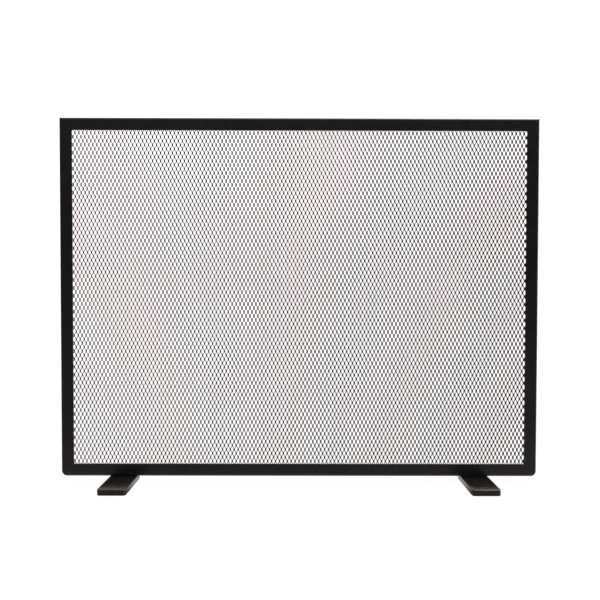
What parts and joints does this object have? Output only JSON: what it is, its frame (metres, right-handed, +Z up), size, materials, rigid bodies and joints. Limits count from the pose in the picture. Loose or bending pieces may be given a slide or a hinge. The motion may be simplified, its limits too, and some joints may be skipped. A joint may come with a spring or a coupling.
{
  "type": "fireplace screen",
  "caption": "Free-standing flat fireplace screen: a mitred angle-steel frame round one sheet of expanded steel mesh, standing on two flat-bar feet that run forward.",
  "frame": {"origin": "on the hearth, at the middle of the screen's width and of the feet's length", "axes": "+Z up, +X along the screen's width to the right as seen from the room, +Y towards the fire"},
  "size_m": [0.9652, 0.1016, 0.7366],
  "materials": {
    "frame_paint": "satin black heat-resistant paint on steel angle",
    "foot_paint": "satin black heat-resistant paint on flat bar",
    "mesh_paint": "satin black paint on expanded steel",
    "strip_paint": "satin black paint on flat strip",
    "fastener_steel": "dull zinc plate"
  },
  "bodies": {
    "root": {"top_rail": "frame_paint", "bottom_rail": "frame_paint", "left_stile": "frame_paint", "right_stile": "frame_paint", "mesh_panel": "mesh_paint", "top_retainer_strip": "strip_paint", "top_weld_studs": "fastener_steel", "top_stud_nuts": "fastener_steel", "bottom_retainer_strip": "strip_paint", "bottom_weld_studs": "fastener_steel", "bottom_stud_nuts": "fastener_steel", "left_retainer_strip": "strip_paint", "left_weld_studs": "fastener_steel", "left_stud_nuts": "fastener_steel", "right_retainer_strip": "strip_paint", "right_weld_studs": "fastener_steel", "right_stud_nuts": "fastener_steel", "left_foot": "foot_paint", "left_foot_screws": "fastener_steel", "left_foot_washers": "fastener_steel", "left_foot_nuts": "fastener_steel", "right_foot": "foot_paint", "right_foot_screws": "fastener_steel", "right_foot_washers": "fastener_steel", "right_foot_nuts": "fastener_steel"}
  },
  "joints": []
}
